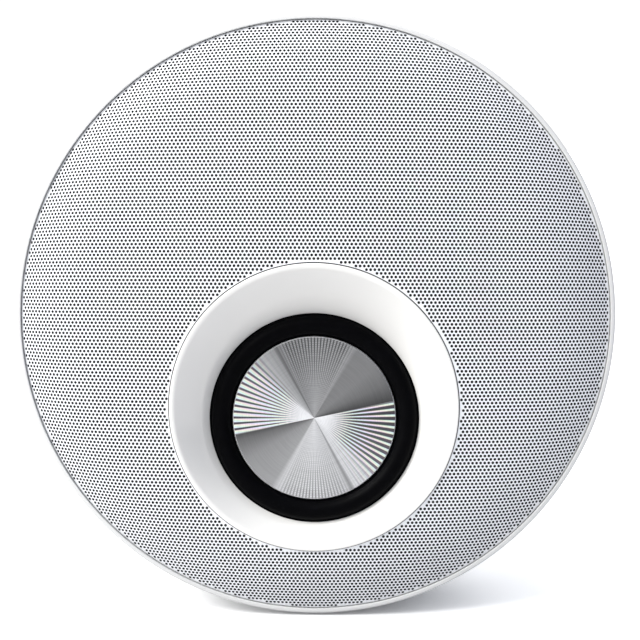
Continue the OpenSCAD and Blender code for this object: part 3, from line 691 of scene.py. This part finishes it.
def perforated_grille():
    rim = float(arc_of(GRILLE_R - PLAIN_RIM))
    t, rho = trim_edge(480, TRIM_W + TRIM_GAP)
    trim_loop = flat_of(rho * np.sin(t), WOOFER_Z + rho * np.cos(t))
    whole, cut = hole_centres(rim, trim_loop)
    cell_xy, corner_id, cell_tris = whole_cells(whole)
    fill_xy, fill = border_fill(cell_xy, open_edges(corner_id), whole, cut, rim, trim_loop)
    flat = np.concatenate([cell_xy, fill_xy])
    fill = fill + len(cell_xy)

    # a cell's triangles go to its centre's sector, a border triangle to its own
    triangles = np.concatenate(cell_tris + [fill])
    where = np.concatenate([whole] * len(cell_tris) + [flat[fill].mean(1)])
    turn = np.degrees(np.arctan2(where[:, 0], where[:, 1])) % 360
    sector = np.minimum((turn / (360 / SECTORS)).astype(int), SECTORS - 1)

    # cells and fill share the points between them
    _, first, inverse = np.unique(place_key(flat, 2000), return_index=True, return_inverse=True)
    flat = flat[first]
    triangles = inverse.ravel()[triangles]
    good = (triangles != np.roll(triangles, 1, axis=1)).all(1)
    for k in range(SECTORS):
        sheet_piece(f"grille_sheet_{k + 1}", flat, triangles[good & (sector == k)])


def grille_rim():
    """The unperforated margin and the skirt that drops into the housing's groove."""
    s0 = float(arc_of(GRILLE_R - PLAIN_RIM))
    s1 = float(arc_of(GRILLE_R))
    s = np.linspace(s0, s1 - 0.4, 4)
    uv = np.stack([s * 0, s], 1)
    front = dome_point(uv)[:, [2, 1]]
    back = dome_point(uv, SHEET_T)[:, [2, 1]]
    edge = GRILLE_R - 0.03
    bend = [(edge - 0.12, dome_at(edge - 0.12) + 0.05), (edge, 0.45)]
    inner = GRILLE_R - SHEET_T
    skirt = [(edge, SKIRT_Y), (inner, SKIRT_Y), (inner, 0.9)]
    prof = list(map(tuple, front)) + bend + skirt + list(map(tuple, back[::-1]))
    pts, faces = lathe(prof, RIM_SEGMENTS)
    ob = mesh_object("grille_rim", pts, faces, SLOTS["grille_white"])
    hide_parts("grille")


def rim_lip():
    """The housing's front edge: a narrow slope that rolls over outwards."""
    inner, foot_y = 118.14, 0.6
    bead_r, bead_y, roll_r = 119.075, -0.25, 0.96
    slope = [(inner, foot_y, 0), (inner, -1.44, 0.24), (119.43, -1.14, 0.8), (119.8, -0.8, 0)]
    slope = [tuple(p) for p in fillet(slope, 5)[1:-1]]
    turns = np.radians(np.arange(46, -21, -6))
    roll = [(bead_r + roll_r * math.cos(a), bead_y - roll_r * math.sin(a)) for a in turns]
    prof = [(inner, foot_y)] + slope + roll + [(119.6, foot_y)]
    pts, faces = lathe(prof, RIM_SEGMENTS)
    ob = mesh_object("rim_lip", pts, faces, SLOTS["housing_white"], sharp=60)


perforated_grille()
grille_rim()
rim_lip()


# ---------------------------------------------------------------- trim ring
def trim_ring():
    """The glossy cone of the recess; its lip follows the dome, so its height varies round it."""
    segments = 480
    proud = 0.6
    foot_y = -7.5
    flange_r, flange_y, seat_r = 49, -3.4, 44
    t, rho_in = trim_edge(segments, 0.0)
    _, rho_out = trim_edge(segments, TRIM_W)
    base = RECESS_R + TRIM_W + RECESS_SLOPE * (SURROUND_Y - foot_y)

    def lip_y(a, rho):
        return float(dome_at(math.hypot(rho * math.sin(a), WOOFER_Z + rho * math.cos(a)))) - proud

    rows = []
    for a, ri, ro in zip(t, rho_in, rho_out):
        yi, yo = lip_y(a, ri), lip_y(a, ro)
        inner = RECESS_R + RECESS_SLOPE * (SURROUND_Y - yi)
        outer = RECESS_R + TRIM_W + RECESS_SLOPE * (SURROUND_Y - yo)
        cone = [(RECESS_R, SURROUND_Y, 0.25), (inner, yi, 2.8), (outer, yo, 0.7), (base, foot_y, 0)]
        flange = [(flange_r, foot_y, 0.3), (flange_r, flange_y, 0.3)]
        seat = [(seat_r, flange_y, 0), (seat_r, SURROUND_Y, 0)]
        rows.append(fillet(cone + flange + seat, 8))
    prof = np.array(rows)
    pts = np.empty((*prof.shape[:2], 3))
    pts[:, :, 0] = np.sin(t)[:, None] * prof[:, :, 0]
    pts[:, :, 1] = prof[:, :, 1]
    pts[:, :, 2] = WOOFER_Z + np.cos(t)[:, None] * prof[:, :, 0]
    faces = ring_faces(*prof.shape[:2])
    ob = mesh_object("trim_ring_gloss", pts.reshape(-1, 3), faces, SLOTS["trim_white"], sharp=30)
    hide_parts("trim_ring")


trim_ring()


# ---------------------------------------------------------------- woofer surround and disc
ROLL_X, ROLL_R, RUBBER_T = 37.2, 4.0, 0.6
SIDE_ROLL_X, SIDE_ROLL_R, SIDE_RUBBER_T = 24.2, 2.2, 0.5
SIDE_X, SIDE_Z = 54, 44
FORMER_R, SPIDER_R, SPIDER_HOLD_R, SPIDER_Y = 12.5, 30.0, 27.5, 12
SPIDER_WAVES, HALF_WAVE = 7, 1.75


def half_roll_profile(centre, roll, thick, outer, inner, base):
    """Outline of a half-roll surround with soft feet, from its outer land to its inner one."""
    a = np.radians(np.linspace(8, 172, 25))
    land, foot = base - thick, base - thick - 0.12
    bore = roll - thick
    front = [(outer, land), (centre + roll + 0.45, land), (centre + roll + 0.12, foot)]
    front += [(centre + roll * math.cos(w), base - roll * math.sin(w)) for w in a]
    front += [(centre - roll - 0.12, foot), (centre - roll - 0.45, land), (inner, land)]
    back = [(inner, base), (centre - roll + thick, base)]
    back += [(centre + bore * math.cos(w), base - bore * math.sin(w)) for w in a[::-1]]
    back += [(centre + roll - thick, base), (outer, base)]
    return (front + back)[::-1]


def flexing_ring(name, profile, x, z, fixed_r, moving_r, slot, cad_node):
    """A ring held by the cabinet at one radius and meeting a diaphragm at the other; it belongs to no
    body.
    """
    pts, faces = lathe(profile, 240, x, z)
    ob = mesh_object(name, pts, faces, SLOTS[slot], body=None, sharp=50)
    ends = world([[x, 0, z + fixed_r], [x, 0, z + moving_r]])
    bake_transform(ob)
    # a blend weight that runs with the radius, worked out but not applied
    r = np.hypot(pts[:, 0] - x, pts[:, 2] - z)
    w = np.clip((fixed_r - r) / (fixed_r - moving_r), 0, 1)
    w = w * w * (3 - 2 * w)
    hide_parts(cad_node)


def spider_profile(inner, outer, waves, depth, thick):
    """Outline of a corrugated disc with a flat land at its edge."""
    wave_end = inner + waves * HALF_WAVE
    r = np.linspace(inner, wave_end, waves * 6 + 1)
    y = depth - 0.4 + 0.4 * np.cos(math.pi * (r - inner) / HALF_WAVE)
    front = list(zip(r, y)) + [(outer, depth - 0.8)]
    back = [(outer, depth + 0.6), (wave_end, depth + 0.6), (wave_end - 0.02, depth - 0.3)]
    return front + back + list(zip(r, y + thick))[-2::-1]


flexing_ring(
    "surround_roll",
    half_roll_profile(ROLL_X, ROLL_R, RUBBER_T, 43.7, 31.4, SURROUND_Y + RUBBER_T),
    0, WOOFER_Z, ROLL_X + ROLL_R, ROLL_X - ROLL_R,
    "rubber_black", "woofer_surround",
)
flexing_ring(
    "spider_corrugated",
    spider_profile(FORMER_R + 0.4, SPIDER_R, SPIDER_WAVES, SPIDER_Y, 0.5),
    0, WOOFER_Z, SPIDER_HOLD_R, FORMER_R + 1.2,
    "spider_cloth", "woofer_spider",
)
for x, word in ((-SIDE_X, "left"), (SIDE_X, "right")):
    flexing_ring(
        f"{word}_roll",
        half_roll_profile(SIDE_ROLL_X, SIDE_ROLL_R, SIDE_RUBBER_T, 28.4, 20.6, 1.5),
        x, SIDE_Z, SIDE_ROLL_X + SIDE_ROLL_R, SIDE_ROLL_X - SIDE_ROLL_R,
        "rubber_black", f"{word}_driver_surround",
    )
DISC_EDGE = metal("disc_edge_cut", (1.0, 1.0, 1.0), 0.45, (900, 900, 900))


def disc():
    """The spun face, its bright chamfer and its side."""
    top, chamfer, r = SURROUND_Y - 1.0, 0.35, 32.6
    prof = [(r - 0.02, SURROUND_Y), (r, SURROUND_Y - 0.05), (r, top + chamfer)]
    prof += [(r - chamfer + 0.02, top + 0.02), (r - chamfer - 0.05, top)]
    edge_bands = len(prof) - 1
    prof += [(q, top) for q in np.linspace(r - chamfer - 0.6, 0.25, 34)]
    n = 360
    pts, faces = lathe(prof, n, 0, WOOFER_Z, closed=False)
    m = len(prof)
    hub = np.array([[0, top, WOOFER_Z], [0, SURROUND_Y, WOOFER_Z]])
    pts = np.concatenate([pts, hub])
    i = np.arange(n)
    j = (i + 1) % n
    front = np.stack([i * m + m - 1, np.full(n, n * m), j * m + m - 1], 1)
    back = np.stack([j * m, np.full(n, n * m + 1), i * m], 1)
    looks = [SLOTS["disc_aluminium"], DISC_EDGE]
    ob = mesh_object("disc_spun", pts, [faces, front, back], looks, "woofer_diaphragm", sharp=20)
    look = np.zeros(len(ob.data.polygons), np.int32)
    look[: len(faces)] = np.tile(np.arange(m - 1) < edge_bands, n)
    ob.data.polygons.foreach_set("material_index", look)
    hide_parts("woofer_disc")


disc()


# ---------------------------------------------------------------- marks on the keys
BUTTON_Y, BUTTON_PROUD, BUTTON_STEP = 17.2, 0.9, 13.0
MARK = plastic("key_mark_grey", (0.16, 0.16, 0.17), 0.5, 2600, 0.000008, 0.05)


def on_wall(points, turn, y):
    """Points (across, back, outwards) set on the side wall, at an angle from the top."""
    p = np.asarray(points, float)
    c, s, a = math.cos(TAPER), math.sin(TAPER), math.radians(turn)
    depth = y + p[:, 1] * c + p[:, 2] * s
    r = wall_r(y) - p[:, 1] * s + p[:, 2] * c
    x = p[:, 0] * math.cos(a) + r * math.sin(a)
    z = r * math.cos(a) - p[:, 0] * math.sin(a)
    return np.stack([x, depth, z], 1)


def bent_bar(radius, start, stop, width, steps=28):
    """A bar of round ends bent round the key's middle."""
    a = np.radians(np.linspace(start, stop, steps))
    around = np.stack([np.cos(a), np.sin(a)], 1)
    caps = []
    for end, first in ((a[-1], a[-1]), (a[0], a[0] + math.pi)):
        t = first + np.radians(np.linspace(20, 160, 7))
        middle = radius * np.array([math.cos(end), math.sin(end)])
        caps.append(middle + width / 2 * np.stack([np.cos(t), np.sin(t)], 1))
    outer, inner = (radius + width / 2) * around, (radius - width / 2) * around[::-1]
    return np.concatenate([outer, caps[0], inner, caps[1]])


def bar(x0, y0, x1, y1, width, steps=9):
    """A straight bar with round ends."""
    along = math.atan2(y1 - y0, x1 - x0)
    ends = []
    for x, y, t0 in ((x1, y1, along - math.pi / 2), (x0, y0, along + math.pi / 2)):
        t = t0 + np.linspace(0, math.pi, steps)
        ends.append(np.stack([x + width / 2 * np.cos(t), y + width / 2 * np.sin(t)], 1))
    return np.concatenate(ends)


def cross(arm, width):
    """A plus sign: one arm's three corners, turned into the other three arms."""
    w = width / 2
    corners = [(arm, -w), (arm, w), (w, w)]
    outline = []
    for _ in range(4):
        outline += corners
        corners = [(-y, x) for x, y in corners]
    return np.array(outline, float)


def key_mark(name, body, index, outlines):
    """Low raised marks moulded on a key's face, with a small bevel."""
    pts, groups, base = [], [], 0
    for flat in outlines:
        n = len(flat)
        ahead, behind = np.roll(flat, -1, axis=0), np.roll(flat, 1, axis=0)
        d = ahead - behind
        inward = np.stack([-d[:, 1], d[:, 0]], 1)
        inward /= np.maximum(np.linalg.norm(d, axis=1), 1e-9)[:, None]
        rings = [(flat, -0.05), (flat, 0.07), (flat + 0.05 * inward, 0.12)]
        for ring, h in [(ring, BUTTON_PROUD + h) for ring, h in rings]:
            pts.append(np.column_stack([ring, np.full(n, h)]))
        i = np.arange(n)
        j = (i + 1) % n
        for k in range(2):
            lo, hi = base + k * n, base + (k + 1) * n
            groups.append(np.stack([lo + i, lo + j, hi + j, hi + i], 1))
        groups.append((base + 2 * n + i)[None])
        groups.append((base + i[::-1])[None])
        base += 3 * n
    turn = (index - 1.5) * BUTTON_STEP
    placed = on_wall(np.concatenate(pts), turn, BUTTON_Y)
    ob = mesh_object(name, placed, groups, MARK, body, sharp=30)


key_mark("mark_less", "volume_down_key", 0, [bar(-1.5, 0, 1.5, 0, 0.55)])
arcs = [bent_bar(1.5, -55, 55, 0.4), bent_bar(1.5, 125, 235, 0.4)]
key_mark("mark_voice", "voice_key", 1, [bar(-0.01, 0, 0.01, 0, 1.1)] + arcs)
key_mark("mark_power", "power_key", 2, [bent_bar(1.45, -235, 55, 0.42), bar(0, 0.7, 0, 2.0, 0.42)])
key_mark("mark_more", "volume_up_key", 3, [cross(1.75, 0.55)])


# ---------------------------------------------------------------- studio
def sun(name, azimuth, elevation, strength, softness, color=(1, 1, 1)):
    """A distant lamp; azimuth 0 is in front of the speaker, 90 on the picture's right."""
    data = bpy.data.lights.new(name, "SUN")
    data.energy = strength
    data.angle = math.radians(softness)
    data.color = color
    ob = bpy.data.objects.new(name, data)
    a, e = math.radians(azimuth), math.radians(elevation)
    towards = Vector((math.sin(a) * math.cos(e), -math.cos(a) * math.cos(e), math.sin(e)))
    ob.location = towards * 2
    ob.rotation_euler = towards.to_track_quat("Z", "Y").to_euler()
    bpy.context.scene.collection.objects.link(ob)


def floor():
    """Pale floor; camera rays see a light table, so that the ground is white as in the photo."""
    me = bpy.data.meshes.new("floor")
    size, n = 3.0, 8
    bm = bmesh.new()
    bmesh.ops.create_grid(bm, x_segments=n, y_segments=n, size=size)
    bm.to_mesh(me)
    bm.free()
    ob = bpy.data.objects.new("floor", me)
    bpy.context.scene.collection.objects.link(ob)
    mat, nt, bsdf = start_material("floor_white", (0.9, 0.9, 0.9), 0.6)
    seen = node(nt, "LightPath").outputs["Is Camera Ray"]
    pale = ramp(nt, noise(nt, 3), [(0.3, (0.88, 0.88, 0.88)), (0.7, (0.9, 0.9, 0.9))])
    nt.links.new(mix_color(nt, seen, (0.62, 0.62, 0.63), pale), bsdf.inputs["Base Color"])
    # it glows to the camera only, and less close to the foot, so the shadow stays
    near = node(nt, "VectorMath", operation="DISTANCE")
    nt.links.new(node(nt, "TexCoord").outputs["Object"], near.inputs[0])
    near.inputs[1].default_value = (0.01, -0.025, 0)
    bsdf.inputs["Emission Color"].default_value = (0.97, 0.985, 1, 1)
    glow = map_range(nt, near.outputs["Value"], 0.015, 0.075, 0.1, 0.38, True)
    nt.links.new(math_node(nt, "MULTIPLY", glow, seen), bsdf.inputs["Emission Strength"])
    me.materials.append(mat)


def studio_world():
    """Soft light from the upper left and front; the camera sees plain white."""
    w = bpy.data.worlds.new("studio")
    bpy.context.scene.world = w
    w.use_nodes = True
    nt = w.node_tree
    nt.nodes.clear()
    sep = node(nt, "SeparateXYZ")
    nt.links.new(node(nt, "TexCoord").outputs["Generated"], sep.inputs[0])
    side = map_range(nt, sep.outputs[0], -1.0, 1.0, 1.0, 0.0)
    color = ramp(nt, side, [
        (0.0, (0.16, 0.19, 0.28)), (0.5, (0.56, 0.57, 0.60)),
        (0.85, (0.95, 0.95, 0.94)), (1.0, (1, 1, 1)),
    ])
    light = node(nt, "Background")
    nt.links.new(color, light.inputs["Color"])
    above = map_range(nt, sep.outputs[2], 0.0, 1.0, 0.62, 1.5)
    ahead = map_range(nt, sep.outputs[1], -1.0, 0.2, 1.5, 1.0)
    outer = map_range(nt, side, 0.8, 1.0, 1.0, 1.7)
    strength = math_node(nt, "MULTIPLY", math_node(nt, "MULTIPLY", above, ahead), outer)
    nt.links.new(strength, light.inputs["Strength"])
    seen = node(nt, "Background", Strength=1.1)
    seen.inputs["Color"].default_value = (1, 1, 1, 1)
    path = node(nt, "LightPath")
    mix = node(nt, "MixShader")
    nt.links.new(path.outputs["Is Camera Ray"], mix.inputs[0])
    nt.links.new(light.outputs[0], mix.inputs[1])
    nt.links.new(seen.outputs[0], mix.inputs[2])
    out = node(nt, "OutputWorld")
    nt.links.new(mix.outputs[0], out.inputs["Surface"])


def camera():
    """The photograph's view: level with the disc's middle, from slightly above."""
    data = bpy.data.cameras.new("camera")
    data.sensor_width = 36
    data.lens = 84.2
    data.clip_start = 0.01
    ob = bpy.data.objects.new("camera", data)
    bpy.context.scene.collection.objects.link(ob)
    target = Vector(world([[2.1, 0, -1.9]])[0])
    azimuth, elevation, distance = math.radians(1.0), math.radians(10), 0.6
    flat = math.cos(elevation)
    away = Vector((math.sin(azimuth) * flat, -math.cos(azimuth) * flat, math.sin(elevation)))
    ob.location = target + away * distance
    ob.rotation_euler = (-away).to_track_quat("-Z", "Y").to_euler()
    bpy.context.scene.camera = ob


floor()
studio_world()
sun("key", -60, 44, 2.9, 28, (1.0, 0.995, 0.98))
sun("top", 175, 66, 0.9, 50)
camera()
bpy.context.scene.view_settings.view_transform = "Standard"
